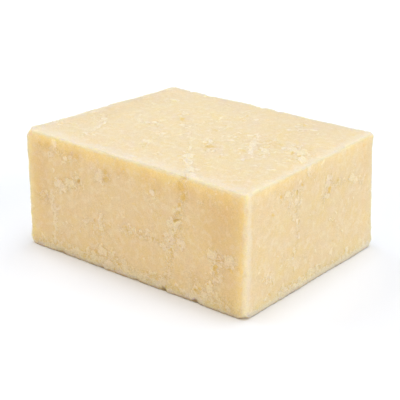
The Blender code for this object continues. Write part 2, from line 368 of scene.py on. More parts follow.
CALM = {
    "front": (
        (43, 32.5, 8, 7, 0, 0.8), (-6.5, 27.5, 6, 5, 0, 0.6), (-46, 33, 4, 5, 0, 0.6),
        (-30.5, 21, 5, 5, 0, 0.5), (10.5, 27.5, 5, 4, 0, 0.5),
    ),
    "right": (
        (-33, 27, 9, 8, 0, 0.9), (26.5, 20, 8, 8, 0, 0.4),
    ),
    "top": (
        (-22.5, -22, 11, 9, 0, 1), (-13.5, 11, 5, 7, -20, 0.8), (27.5, -24, 6, 5, 0, 0.5),
    ),
}

# Small spots of honey-yellow curd, in pits and under the top edge.
HONEY = {
    "front": (
        (26.5, 45, 1.9, 1.7, 20, 0.75), (27, 41.5, 1.2, 1.3, 0, 0.45), (25.5, 38, 0.8, 1.4, 0, 0.3),
        (25, 27, 0.8, 0.7, 0, 0.3), (-1.5, 22, 1.2, 0.7, 35, 0.4), (3, 32.5, 0.9, 0.6, 0, 0.4),
        (-11.5, 40, 0.7, 1.6, 0, 0.4), (-47.5, 45, 1, 1.3, 0, 0.4), (-43, 45.5, 1.1, 1, 0, 0.4),
        (-44, 42.5, 1, 0.7, 0, 0.3), (-33, 44.5, 0.9, 0.9, 0, 0.4), (-27.5, 44.5, 1.8, 0.9, 0, 0.4),
        (-2.5, 45.5, 0.9, 1, 0, 0.5), (-4.5, 43, 0.7, 0.9, 0, 0.3), (9, 45, 1.6, 0.8, 0, 0.3),
        (49.5, 18.5, 1.2, 1.1, 0, 0.3), (42.5, 17, 0.8, 1.1, 0, 0.3), (35, 6.5, 1, 0.8, 0, 0.25),
        (33, 5.5, 0.8, 0.7, 0, 0.3), (-17.5, 7, 0.9, 0.9, 0, 0.3), (-29.5, 1.5, 1.2, 0.6, 0, 0.3),
    ),
    "right": (
        (10.5, 35.5, 1.6, 1.3, 0, 0.7), (-23.5, 42.5, 0.9, 0.7, 0, 0.5), (-9, 43, 1, 0.6, -20, 0.5),
        (-12.5, 41, 0.6, 1, 20, 0.3), (-28.5, 37, 1, 0.6, -40, 0.3),
    ),
    "top": (
        (31.5, 2, 0.9, 3.2, 30, 0.25), (34.5, 8, 2.2, 1.1, 10, 0.3), (32, -5.5, 1, 1.2, 0, 0.3),
        (-17.5, 7.5, 1, 2.4, 40, 0.5), (42, 1.5, 0.7, 1.6, 40, 0.4), (48, 1, 0.9, 0.9, 0, 0.4),
        (15, -31.5, 0.7, 1.6, 30, 0.3), (22.5, -36, 0.7, 1.6, 40, 0.3),
    ),
}

# The faces that the marks above leave out have theirs at random places.
RANDOM_FACES = ("back", "left", "under")
RANDOM_SEED = 41

# Chips off edges: (centre, radius, depth).
CHIPS = (
    ((27, -44.4, 49.3), 1.8, 1.1), ((56, -44.4, 43.6), 1, 0.5), ((56, -44.4, 34.1), 1.1, 0.6),
    ((56, -44.4, 28.6), 0.8, 0.4), ((56, -44.4, 18.6), 1, 0.6), ((-54, -44.4, 48.9), 2, 0.9),
    ((-43.4, 44.6, 49.1), 1.7, 0.8), ((-33, 44.6, 49.1), 2, 0.6), ((-2, 44.6, 49.1), 1.8, 0.7),
    ((7, 44.4, 49.1), 2.4, 0.5), ((17.5, -44.4, 0.6), 2, 1), ((33, -44.4, 0.4), 1.8, 0.9),
    ((-38, -44.4, 0.4), 2.4, 0.7), ((-15, -44.4, 0.4), 2, 0.6), ((4, -44.4, 0.4), 1.6, 0.6),
)

# Soft studio lights: (direction they come from, apparent width in degrees, strength, colour).
SOFT_LIGHTS = {
    "overhead": ((0.0, 0.0, 1.0), 30.0, 1.60, (0.625, 0.755, 1.0)),
    "over_back": ((0.1, 0.5, 1.0), 50.0, 0.94, (1.0, 1.0, 1.0)),
    "back": ((0.3, 1.0, 0.45), 60.0, 0.6, (1.0, 1.0, 1.0)),
    "right": ((1.0, 0.1, 0.3), 60.0, 2.24, (1.0, 0.929, 0.80)),
    "front": ((-0.3, -1.0, 0.22), 60.0, 1.88, (1.0, 0.788, 0.487)),
    "left": ((-1.0, -0.1, 0.6), 60.0, 1.64, (1.0, 1.0, 1.0)),
}


# ---------------------------------------------------------------- noise

UNIT_CORNERS = np.stack(np.meshgrid((0, 1), (0, 1), (0, 1), indexing="ij"), -1).reshape(-1, 3)
NEIGHBOURS = np.stack(np.meshgrid((-1, 0, 1), (-1, 0, 1), (-1, 0, 1), indexing="ij"), -1).reshape(-1, 3)
SLOPE_COUNT = 4096
SLOPE_SEED = 3
FAR = 9.0
COARSE_BEND = 2.4
FINE_BEND = 0.9


def random_slopes():
    slopes = np.random.default_rng(SLOPE_SEED).normal(size=(SLOPE_COUNT, 3))
    return slopes / np.linalg.norm(slopes, axis=1, keepdims=True)


SLOPES = random_slopes()


def scrambled(cells, salt):
    """A whole number from 0 to 2**32 for each lattice cell: its numbers times large primes, folded.

    The salt is any whole number. It makes one noise differ from another.
    """
    whole = cells.astype(np.int64).astype(np.uint32)
    mixed = whole[:, 0] * np.uint32(73856093)
    mixed ^= whole[:, 1] * np.uint32(19349663)
    mixed ^= whole[:, 2] * np.uint32(83492791)
    mixed += np.uint32(salt * 374761393 % 2**32)
    for _ in range(2):
        mixed ^= mixed >> np.uint32(15)
        mixed *= np.uint32(2246822519)
        mixed ^= mixed >> np.uint32(13)
    return mixed


def chance(cells, salt):
    """A random number from 0 to 1 for each lattice cell."""
    return scrambled(cells, salt) / 2.0**32


def smooth_noise(points, size, salt):
    """Gradient noise, about -1 to 1: random slopes at the corners of cells of this size, eased together."""
    place = points / size
    cell = np.floor(place)
    inside = place - cell
    ease = inside**3 * (inside * (6 * inside - 15) + 10)
    total = np.zeros(len(points))
    for corner in UNIT_CORNERS:
        slope = SLOPES[scrambled(cell + corner, salt) % SLOPE_COUNT]
        share = np.prod(np.where(corner, ease, 1 - ease), axis=1)
        total += share * np.sum(slope * (inside - corner), axis=1)
    return total * 1.7


def layered_noise(points, size, layers, salt):
    """Noise of this size plus noises each half as large and half as strong, scaled to about -1 to 1."""
    total = np.zeros(len(points))
    for layer in range(layers):
        total += smooth_noise(points, size / 2**layer, salt + layer) / 2**layer
    return total / 1.4


def warped(points, coarse, fine):
    """The points moved about by noise, in two sizes, so that what is drawn over them is irregular."""
    shift = np.zeros_like(points)
    for axis in range(3):
        shift[:, axis] += coarse * smooth_noise(points, COARSE_BEND, 100 + axis)
        shift[:, axis] += fine * smooth_noise(points, FINE_BEND, 110 + axis)
    return points + shift


def ramp(value, start, end):
    """0 at start, 1 at end, with a smooth S between and flat ends."""
    share = np.clip((value - start) / (end - start), 0, 1)
    return share * share * (3 - 2 * share)


def crumbled(points, size, salt, likely):
    """Split space into uneven crumbs about this large, and say which of them are pale.

    Each cell of a lattice holds one seed at a random place, with a random weight of 0.45 to 0.85. A point
    belongs to the seed that is nearest by distance over weight, and its gap is how much farther the
    second one is: 0 on the border between two crumbs. A crumb is pale if its seed's random number is
    under `likely` there. The results are 1 in pale crumbs and 0 outside, 1 where either crumb at a
    border is pale, the gap, and each crumb's own random number.
    """
    home = np.floor(points / size)
    low = home.min(axis=0) - 1
    span = (home.max(axis=0) - low + 2).astype(int)
    cells = low + np.stack(np.meshgrid(*map(np.arange, span), indexing="ij"), -1).reshape(-1, 3)
    seeds = size * (cells + np.stack([chance(cells, salt + axis) for axis in range(3)], axis=1))
    weight = size * (0.45 + 0.4 * chance(cells, salt + 3))
    pale = chance(cells, salt + 4) < likely(seeds)
    nearest = np.full(len(points), FAR)
    second = np.full(len(points), FAR)
    first_seed = np.zeros(len(points), np.int64)
    second_seed = np.zeros(len(points), np.int64)
    for step in NEIGHBOURS:
        index = np.ravel_multi_index((home + step - low).astype(int).T, span)
        away = np.linalg.norm(seeds[index] - points, axis=1) / weight[index]
        closer = away < nearest
        next_best = ~closer & (away < second)
        second = np.where(closer, nearest, np.where(next_best, away, second))
        second_seed = np.where(closer, first_seed, np.where(next_best, index, second_seed))
        nearest = np.where(closer, away, nearest)
        first_seed = np.where(closer, index, first_seed)
    inside = pale[first_seed]
    return inside, inside | pale[second_seed], second - nearest, chance(cells, salt + 5)[first_seed]


# ---------------------------------------------------------------- form


def box_shell(cells):
    """Lattice places and quads of a closed box shell.

    Each side is a grid of two lattice numbers, and points that sides share are made one.
    """
    span = np.array(cells) + 1
    quads = []
    for axis in range(3):
        first, second = [other for other in range(3) if other != axis]
        a, b = np.meshgrid(np.arange(span[first]), np.arange(span[second]), indexing="ij")
        for end in (0, cells[axis]):
            lattice = np.zeros((3,) + a.shape, np.int64)
            lattice[axis], lattice[first], lattice[second] = end, a, b
            code = np.ravel_multi_index(lattice, span)
            side = np.stack([code[:-1, :-1], code[1:, :-1], code[1:, 1:], code[:-1, 1:]], -1)
            inward = (end == 0) != (axis == 1)
            quads.append(side.reshape(-1, 4)[:, :: -1 if inward else 1])
    codes, quads = np.unique(np.concatenate(quads), return_inverse=True)
    lattice = np.stack(np.unravel_index(codes, span), axis=1)
    return lattice, quads.reshape(-1, 4)


def rounded(box, radius):
    """Draw each point in to its radius from the core, the box less that radius on every side."""
    reach = HALF - radius[:, None]
    core = np.clip(box, -reach, reach)
    outward = box - core
    outward /= np.linalg.norm(outward, axis=1, keepdims=True)
    return core + radius[:, None] * outward, outward


def edge_radii(box, usual):
    """The usual radius along the top edges, more down the upright ones, and less at the foot.

    It swings along each edge by a slow and a quick noise, between 0.6 and 1.5 times itself.
    """
    height = box[:, 2] + HALF[2]
    more = UPRIGHT_MORE * ramp(height, 2 * HALF[2], 2 * HALF[2] - EDGE_BLEND)
    less = FOOT_LESS * ramp(height, EDGE_BLEND, 1.0)
    swing = 1 + 0.3 * smooth_noise(box, 7.0, 11) + 0.2 * smooth_noise(box, 2.4, 12)
    return usual * (1 + more - less) * np.clip(swing, 0.6, 1.5)


def skewed(places):
    """Add each corner's stray, in the share that a place in the box gives to that corner."""
    moved = places.copy()
    for corner, stray in CORNER_STRAY.items():
        share = np.prod((1 + np.array(corner) * (places - MIDDLE) / HALF) / 2, axis=1)
        moved += share[:, None] * np.array(stray)
    return moved


def waves(places):
    """The sum of plane waves in seeded directions. Its root mean square is WAVE_HEIGHT."""
    rng = np.random.default_rng(WAVE_SEED)
    total = np.zeros(len(places))
    for length in np.geomspace(LONGEST_WAVE, SHORTEST_WAVE, WAVES):
        way = rng.normal(size=3)
        way /= np.linalg.norm(way)
        total += np.sin(places @ way * (math.tau / length) + rng.uniform(0, math.tau))
    return total * WAVE_HEIGHT * math.sqrt(2 / WAVES)


def softly_over(proud, blend):
    """proud where it is over blend, 0 where it is under -blend, and a parabola between."""
    rising = np.clip(proud + blend, 0, None) ** 2 / (4 * blend)
    return np.where(proud < blend, rising, proud)


def worn(points, ragged):
    """Push each corner's tip back to a rough plane across its diagonal."""
    moved = points.copy()
    for corner, wear in CORNER_WEAR.items():
        side = np.array(corner)
        tip = MIDDLE + HALF * side + np.array(CORNER_STRAY[corner])
        diagonal = side / math.sqrt(3)
        cut = softly_over((moved - tip) @ diagonal + wear + WEAR_ROUGHNESS * ragged, WEAR_BLEND)
        nearby = np.linalg.norm(moved - tip, axis=1) < WEAR_REACH
        moved -= np.where(nearby, cut, 0.0)[:, None] * diagonal
    return moved


# ---------------------------------------------------------------- marks


def near_sides(places):
    """For each axis, 1 or -1 where a place is near the box's side on that axis, else 0."""
    from_middle = places - MIDDLE
    return np.sign(from_middle) * (abs(from_middle) > HALF - NEAR_SIDE)


def face_view(places, outward, face):
    """Which places lie on a face, and their two places on it."""
    axis, side, first, second = FACES[face]
    return outward[:, axis] * side > FACE_SHARE, places[:, first], places[:, second]


def mark_strength(places, outward, marks, soft):
    """The strongest of the marks at each place. A mark is an ellipse, turned in its face.

    It has its full strength in the middle, and fades over the share `soft` of its radius.
    """
    total = np.zeros(len(places))
    for face, rows in marks.items():
        here, along, up = face_view(places, outward, face)
        for a, b, wide, high, turn, strength in rows:
            reach = (1 + soft) * max(wide, high)
            near = np.flatnonzero(here & (abs(along - a) < reach) & (abs(up - b) < reach))
            c, s = math.cos(math.radians(turn)), math.sin(math.radians(turn))
            x, y = along[near] - a, up[near] - b
            away = np.hypot((x * c + y * s) / wide, (y * c - x * s) / high)
            total[near] = np.maximum(total[near], strength * ramp(away, 1 + soft / 2, 1 - soft / 2))
    return total


def path_strength(places, outward, paths):
    """How broken the curd is along the paths: all of it in the middle, none at 1.6 half widths away."""
    total = np.zeros(len(places))
    for face, rows in paths.items():
        here, along, up = face_view(places, outward, face)
        shown = np.flatnonzero(here)
        place = np.stack([along[shown], up[shown]], axis=1)
        for half_width, strength, path in rows:
            nearest = np.full(len(shown), np.inf)
            for start, end in zip(path, path[1:]):
                run = np.array(end) - np.array(start)
                share = np.clip((place - start) @ run / (run @ run), 0, 1)
                away = np.linalg.norm(place - start - share[:, None] * run, axis=1)
                nearest = np.minimum(nearest, away)
            amount = strength * ramp(nearest / half_width, 1.6, 0.3)
            total[shown] = np.maximum(total[shown], amount)
    return total


def with_random_marks(marks, rng, count, small, large, strength):
    """The listed marks, and `count` more at random places on each face that has none."""
    more = dict(marks)
    for face in RANDOM_FACES:
        first, second = FACES[face][2:]
        a = rng.uniform(-0.94, 0.94, count) * HALF[first]
        b = rng.uniform(-0.9, 0.9, count) * HALF[second] + MIDDLE[second]
        wide = rng.uniform(small, large, count)
        high = wide * rng.uniform(0.6, 1.6, count)
        turn = rng.uniform(-40, 40, count)
        amount = strength * rng.uniform(0.6, 1.4, count)
        more[face] = tuple(zip(a, b, wide, high, turn, amount))
    return more


def with_random_paths(paths, rng, count, narrow, wide):
    """The listed paths, and `count` short ones at random places on each face that has none."""
    more = dict(paths)
    for face in RANDOM_FACES:
        here = list(FACES[face][2:])
        rows = []
        for _ in range(count):
            start = rng.uniform(-0.9, 0.9, 2) * HALF[here] + MIDDLE[here]
            turns = rng.uniform(0, math.tau) + rng.uniform(-0.7, 0.7, 3).cumsum()
            steps = rng.uniform(2.0, 6.0, 3) * np.array([np.cos(turns), np.sin(turns)])
            path = np.vstack([start, start + steps.cumsum(axis=1).T])
            rows.append((rng.uniform(narrow, wide), rng.uniform(0.5, 0.9), tuple(map(tuple, path))))
        more[face] = tuple(rows)
    return more


def marks_on_all_faces():
    """Every kind of mark. The numbers are how many are added to a face, their sizes and strength."""
    rng = np.random.default_rng(RANDOM_SEED)
    return {
        "pits": with_random_marks(PITS, rng, 22, 0.5, 1.3, 0.4),
        "lumps": with_random_marks(LUMPS, rng, 30, 0.9, 2.2, 0.7),
        "ripe_and_shade": with_random_marks(RIPE_AND_SHADE, rng, 8, 2.5, 8.0, 0.6),
        "calm": with_random_marks(CALM, rng, 4, 4.0, 9.0, 0.6),
        "honey": with_random_marks(HONEY, rng, 8, 0.7, 1.6, 0.4),
        "broken": with_random_paths(BROKEN, rng, 14, 1.2, 3.2),
        "veins": with_random_paths(VEINS, rng, 5, 0.5, 0.8),
    }


def chip_depth(places):
    """How deep the edge is chipped at each place: full in a chip's middle, none at 1.2 radii away."""
    total = np.zeros(len(places))
    for centre, radius, depth in CHIPS:
        away = np.linalg.norm(places - np.array(centre), axis=1) / radius
        total = np.maximum(total, depth * ramp(away, 1.2, 0.3))
    return total


# ---------------------------------------------------------------- surface


def readiness(places, outward, marks):
    """How ready the curd is to show crumbs: in lumps, along broken paths, at the foot, and in drifts."""
    lump = mark_strength(places, outward, marks["lumps"], 0.6)
    broken = path_strength(places, outward, marks["broken"])
    calm = mark_strength(places, outward, marks["calm"], 0.8)
    drift = ramp(layered_noise(places, 8.0, 2, 24), -0.1, 0.9)
    foot = ramp(places[:, 2], 7.0, 1.0) * (abs(outward[:, 2]) < 0.9)
    ready = np.maximum(0.95 * lump, 0.62 * broken) + 0.22 * foot
    return np.clip(ready + 0.30 * drift * (1 - calm), 0, 1)


class Crumbs:
    """Angular crumbs of curd, 0 to 1, the creases at their borders, and each crumb's own random number."""

    def __init__(self, places, marks, size, salt, share):
        def likely(seeds):
            outward = near_sides(seeds)
            shown = outward.any(axis=1)
            ready = np.zeros(len(seeds))
            ready[shown] = share * readiness(seeds[shown], outward[shown], marks)
            return ready

        inside, beside, gap, self.own = crumbled(places, size, salt, likely)
        self.body = inside * ramp(gap, 0.05, 0.35)
        self.crease = beside * ramp(gap, 0.30, 0.05)


class Curd:
    """What is known about each point of the rounded true box before the relief moves it.

    side is 1 on the upright faces and 0 on the flat ones. ragged, drift and lobes are noises of about -1
    to 1. The marks are read at bent places, which makes their outlines irregular.
    """

    def __init__(self, box, edge_radius):
        points, self.outward = rounded(box, edge_radii(box, edge_radius))
        self.box = box
        self.places = points + MIDDLE
        self.side = 1 - abs(self.outward[:, 2])
        self.ragged = layered_noise(self.places, 1.8, 3, 21)
        self.drift = layered_noise(self.places, 7.0, 3, 27)
        self.lobes = layered_noise(self.places, 1.5, 2, 88)

        marks = marks_on_all_faces()
        bent = warped(self.places, 0.75, 0.32)
        self.large = Crumbs(bent, marks, LARGE_CRUMB, 31, 0.75)
        self.small = Crumbs(bent, marks, SMALL_CRUMB, 41, 0.85)
        self.hole = Crumbs(bent, marks, HOLE, 51, 0.16)
        self.ready = readiness(bent, self.outward, marks)
        self.calm = mark_strength(bent, self.outward, marks["calm"], 0.8)
        self.pit = mark_strength(bent, self.outward, marks["pits"], 0.8)
        self.honey = mark_strength(bent, self.outward, marks["honey"], 0.9)
        self.vein = path_strength(bent, self.outward, marks["veins"])
        self.chip = chip_depth(bent)
        self.lump = mark_strength(warped(self.places, 1.1, 0.5), self.outward, marks["lumps"], 0.5)
        self.ripe_and_shade = mark_strength(warped(self.places, 2.2, 0.6), self.outward, marks["ripe_and_shade"], 1.3)


def relief(curd):
    """How far each place moves along its outward direction.

    relief = waves + scratches + grain + lumps + crumbs - creases - holes - pits - chips - edge crumbling,
    and on the underside a share of that, less a lift that grows inwards from the edges.
    """
    places, large, small, hole = curd.places, curd.large, curd.small, curd.hole
    height = waves(places)
    scratch = smooth_noise(places * np.array([1, 1, 0.16]), 0.8, 81)
    height += SCRATCH_HEIGHT * scratch * curd.side
    grain = layered_noise(places, 0.9, 2, 85)
    height += (CUT_GRAIN_HEIGHT + BROKEN_GRAIN_HEIGHT * curd.ready) * grain
    height += LUMP_HEIGHT * curd.lump * (1 + 0.5 * curd.lobes)
    height += LARGE_CRUMB_HEIGHT * large.body * (0.3 + large.own)
    height += SMALL_CRUMB_HEIGHT * small.body * (0.3 + small.own)
    height -= LARGE_CREASE_DEPTH * large.crease + SMALL_CREASE_DEPTH * small.crease
    height -= HOLE_DEPTH * hole.body * (0.4 + hole.own)
    height -= PIT_DEPTH * curd.pit * (0.35 + curd.pit) + curd.chip

    from_edge = np.sort(HALF - abs(curd.box), axis=1)[:, 1]
    edge = np.exp(-((from_edge / EDGE_REACH) ** 2)) * ramp(places[:, 2], 0.5, 3.0)
    torn = TORN_EDGE_DEPTH * ramp(curd.ragged, 0.0, 0.8)
    height -= edge * (torn + BRUISED_EDGE_DEPTH * ramp(curd.drift, 0.1, 0.8))

    below = np.clip(-curd.outward[:, 2], 0, 1)
    inner = below * ramp(from_edge, 0.5, 3.0)
    return height * (1 - below) + inner * (UNDER_SHARE * height - UNDER_LIFT)


def undercut(curd):
    """How far the foot is cut in, in ragged teeth, over the lowest half millimetre.

    It runs level, away from the nearest sides, and fades out under the block over 4 mm.
    """
    height = curd.box[:, 2] + HALF[2]
    teeth = ramp(smooth_noise(curd.box, 1.7, 61) + 0.4 * curd.ragged, -0.1, 0.15)
    low = ramp(height + 0.4 * curd.ragged, 0.5, 0.15)
    inward = np.sign(curd.box) * ramp(HALF - abs(curd.box), 4.0, 0.0)
    inward[:, 2] = 0
    return UNDERCUT_DEPTH * inward * (teeth * low)[:, None]


def rim(outward, places):
    """How far each place is from its own face's top edge, and from the face's nearer upright edge.

    On the flat faces both are the distance from the nearest edge.
    """
    from_middle = places - MIDDLE
    room = HALF - abs(from_middle)
    sideways = np.where(abs(outward[:, 0]) > abs(outward[:, 1]), room[:, 1], room[:, 0])
    flat = np.minimum(room[:, 0], room[:, 1])
    on_top = abs(outward[:, 2]) > 0.7
    return np.where(on_top, flat, HALF[2] - from_middle[:, 2]), np.where(on_top, flat, sideways)


def colour_shares(curd, places):
    """The shares of the colours at each moved place. Distances from edges wander by noise.

    warm is painted light: a yellower, lighter rim inside the edges, painted as the glow of light through
    them, and bounce light over the floor. edge is paler curd beside the prow, which is the front right
    upright edge, and along the top edges there. line is painted shade: a darker, greyer line along the
    edges and over the far side of the top. pale also holds painted bounce light over the floor, and foot is
    painted contact shade. rough is where the material is grainy and full of flecks.
    """
    ragged, large, small, hole = curd.ragged, curd.large, curd.small, curd.hole
    wander = 1.6 * curd.drift + 0.7 * ragged
    right, front, top = ramp(curd.outward * TOWARDS_VIEW, 0.3, 0.8).T
    from_front = places[:, 1] + HALF[1]
    from_right = HALF[0] - places[:, 0]
    from_back = HALF[1] - places[:, 1] + 0.6 * wander
    from_left = places[:, 0] + HALF[0] + 0.6 * wander
    from_floor = places[:, 2] + 0.5 * ragged
    under_top, beside = rim(curd.outward, curd.box + MIDDLE)
    prow = np.hypot(from_front, from_right)

    # Painted bounce light from the floor: the upright faces lighter and yellower over it.
    floor_bounce = curd.side * ramp(places[:, 2] + 0.5 * wander, *FLOOR_BOUNCE)
    inset = np.minimum(under_top, beside) + wander
    # A yellower, lighter rim inside the edges, mostly on the front: painted glow of light through the
    # edges.
    painted_warm_light = ramp(inset, *RIM_OUTER_END) * ramp(inset, *RIM_INNER_END) * (0.92 * front + 0.2 * right)

    # Paler curd along the top's front and right edges, under the top edge, round the prow, and on the right
    # face near the front.
    along_front = 0.6 * top * ramp(from_front + wander, *PALE_TOP_FRONT)
    along_right = 0.6 * top * ramp(from_right + wander, *PALE_TOP_RIGHT)
    under = (0.15 * right + 0.8 * front) * ramp(under_top + 0.4 * wander, *PALE_UNDER_TOP)
    at_prow = 0.8 * (1 - top) * ramp(prow + 0.6 * wander, *PALE_PROW)
    on_right = 0.85 * right * ramp(from_front + wander, *PALE_RIGHT)

    # Painted shade: a darker, greyer line along the upright and top edges, and the top darker towards its
    # back and left sides.
    upright = ramp(beside + 0.3 * ragged, *UPRIGHT_LINE)
    upright = np.maximum(upright, 0.35 * ramp(beside + wander, *UPRIGHT_HALO))
    upright *= ramp(prow, 1.8, 6.0) * (front + right)
    level = (0.38 + 0.12 * right) * ramp(under_top + 0.2 * ragged, *TOP_LINE)
    far = np.maximum(0.5 * ramp(from_back, *BACK_LINE), 0.55 * ramp(from_left, *LEFT_LINE))
    far += 0.15 * ramp(np.minimum(from_back, from_left), *FAR_HALO)

    # A further painted lift of light right over the floor, more on the right face.
    low = (0.3 + 0.15 * right) * ramp(from_floor, 2.4 + 1.2 * right, 0.6)
    vein = curd.vein * (0.8 + 0.4 * curd.lobes)
    pale = np.maximum(0.95 * curd.lump * (1 + 0.25 * curd.lobes), large.body * (0.35 + 0.6 * large.own))
    pale = np.maximum.reduce([pale, vein, small.body * (0.3 + 0.5 * small.own)])
    # A deeper yellow in pits, holes, chips and creases, partly painted shade in them.
    deep = 0.5 * ramp(curd.pit, 0.03, 0.5) + 0.5 * ramp(curd.pit, 0.6, 1.1)
    deep += 0.4 * hole.body * (0.5 + 0.5 * hole.own) + 0.3 * ramp(curd.chip, 0.2, 1.0)
    deep += (0.25 * large.crease + 0.15 * small.crease) * ramp(curd.lobes, -0.3, 0.8)
    shares = {
        # The pale share holds crumbs and veins, and painted bounce light over the floor.
        "pale": (pale + (0.28 + low) * floor_bounce) * (1 - ramp(curd.pit, 0.1, 0.5)),
        "deep": deep,
        "ripe_and_shade": curd.ripe_and_shade,
        "painted_warm_light": np.maximum(painted_warm_light, 0.6 * floor_bounce),
        "edge": np.maximum.reduce([along_front, along_right, under, at_prow, on_right]),
        "line": np.maximum.reduce([upright, level, top * far]),
        "honey": curd.honey,
        # Painted contact shade: the foot darker and browner right over the floor.
        "foot": curd.side * (1 - 0.4 * right) * ramp(from_floor, *SHADED_FOOT),
        "rough": curd.ready * (1 - 0.8 * curd.calm) * (1 - 0.5 * top),
    }
    return {name: np.clip(share, 0, 1) for name, share in shares.items()}


def curd_surface(pitch, edge_radius, strength):
    """The block's points and quads, and for each point the shares of its colours.

    point = skewed(place in the rounded true box + relief along its outward direction - undercut), with
    worn corners, and never under the floor.
    """
    cells = np.maximum(np.round(2 * HALF / pitch), 8).astype(int)
    lattice, quads = box_shell(tuple(cells))
    curd = Curd(lattice / cells * 2 * HALF - HALF, edge_radius)
    moved = relief(curd)[:, None] * curd.outward - undercut(curd)
    places = curd.places + strength * moved
    points = worn(skewed(places), curd.ragged)
    points[:, 2] = np.maximum(points[:, 2], 0.0)
    return points, quads, colour_shares(curd, places)


def centred(points):
    """Stand the points on the floor, with the middle of their box over the middle of the CAD box."""
    middle = (points.min(axis=0) + points.max(axis=0)) / 2
    target = (CAD_LOW + CAD_HIGH) / 2
    return points + np.array([target[0] - middle[0], target[1] - middle[1], CAD_LOW[2]])


def mesh_object(name, points, quads, values):
    """A smooth-shaded mesh object from whole arrays, with one float for each point under each name."""
    mesh = bpy.data.meshes.new(name)
    mesh.vertices.add(len(points))
    mesh.vertices.foreach_set("co", (points * MM).astype(np.float32).ravel())
    mesh.loops.add(quads.size)
    mesh.loops.foreach_set("vertex_index", quads.astype(np.int32).ravel())
    mesh.polygons.add(len(quads))
    mesh.polygons.foreach_set("loop_start", np.arange(0, quads.size, 4, dtype=np.int32))
    mesh.update(calc_edges=True)
    mesh.validate()
    for key, value in values.items():
        layer = mesh.attributes.new(key, "FLOAT", "POINT")
        layer.data.foreach_set("value", value.astype(np.float32))
    mesh.shade_smooth()
    thing = bpy.data.objects.new(name, mesh)
    bpy.context.scene.collection.objects.link(thing)
    return thing


def thinned(thing, triangles):
    """Collapse the flattest edges until about this many triangles are left, and keep the result."""
    ratio = triangles / (2 * len(thing.data.polygons))
    if ratio >= 1:
        return
    thin = thing.modifiers.new("thin", "DECIMATE")
    thin.ratio = ratio
    graph = bpy.context.evaluated_depsgraph_get()
    mesh = bpy.data.meshes.new_from_object(thing.evaluated_get(graph), depsgraph=graph)
    thing.modifiers.clear()
    thing.data = mesh
    mesh.shade_smooth()


# ---------------------------------------------------------------- materials


class Nodes:
    """A short way to write a material's nodes: each call makes one node and returns its output."""

    def __init__(self, name):
        self.material = bpy.data.materials.new(name)
        self.material.use_nodes = True
        self.tree = self.material.node_tree
        self.shader = self.tree.nodes["Principled BSDF"]

    def link(self, source, target):
        self.tree.links.new(source, target)

    def constants(self, values):
        """Set inputs of the shader by their names."""
        for name, value in values.items():
            self.shader.inputs[name].default_value = value

    def place(self, scale=(1.0, 1.0, 1.0)):
        """Object coordinates, stretched by a scale along each axis."""
        coordinates = self.tree.nodes.new("ShaderNodeTexCoord")
        mapping = self.tree.nodes.new("ShaderNodeMapping")
        mapping.inputs["Scale"].default_value = scale
        self.link(coordinates.outputs["Object"], mapping.inputs["Vector"])
        return mapping.outputs["Vector"]

    def noise(self, place, size, detail, roughness=0.5):
        """Noise whose blobs are about this many millimetres across."""
        node = self.tree.nodes.new("ShaderNodeTexNoise")
        node.inputs["Scale"].default_value = 1 / (size * MM)
        node.inputs["Detail"].default_value = detail
        node.inputs["Roughness"].default_value = roughness
        self.link(place, node.inputs["Vector"])
        return node.outputs["Fac"]

    def ramp(self, value, start, end, low=0.0, high=1.0):
        """low where the value is at start, high at end, with a smooth S between and flat ends."""
        node = self.tree.nodes.new("ShaderNodeMapRange")
        node.interpolation_type = "SMOOTHSTEP"
        for name, bound in zip(("From Min", "From Max", "To Min", "To Max"), (start, end, low, high)):
            node.inputs[name].default_value = bound
        self.link(value, node.inputs["Value"])
        return node.outputs["Result"]

    def attribute(self, name):
        node = self.tree.nodes.new("ShaderNodeAttribute")
        node.attribute_name = name
        return node.outputs["Fac"]

    def math(self, operation, first, second):
        node = self.tree.nodes.new("ShaderNodeMath")
        node.operation = operation
        for socket, value in zip(node.inputs, (first, second)):
            if isinstance(value, (int, float)):
                socket.default_value = value
            else:
                self.link(value, socket)
        return node.outputs["Value"]

    def plus(self, first, second):
        return self.math("ADD", first, second)

    def minus(self, first, second):
        return self.math("SUBTRACT", first, second)

    def times(self, first, second):
        return self.math("MULTIPLY", first, second)

    def mix(self, share, first, second, blend="MIX"):
        """A colour between an output and a colour or output, or one times the other."""
        node = self.tree.nodes.new("ShaderNodeMix")
        node.data_type = "RGBA"
        node.blend_type = blend
        self.link(share, node.inputs["Factor"])
        sockets = [socket for socket in node.inputs if socket.type == "RGBA"]
        for socket, value in zip(sockets, (first, second)):
            if isinstance(value, bpy.types.NodeSocket):
                self.link(value, socket)
            else:
                socket.default_value = (*value, 1.0)
        return [socket for socket in node.outputs if socket.type == "RGBA"][0]

    def tint(self, share, colour, by):
        return self.mix(share, colour, by, "MULTIPLY")

    def bump(self, height, distance, strength):
        node = self.tree.nodes.new("ShaderNodeBump")
        node.inputs["Distance"].default_value = distance * MM
        node.inputs["Strength"].default_value = strength
        self.link(height, node.inputs["Height"])
        return node.outputs["Normal"]


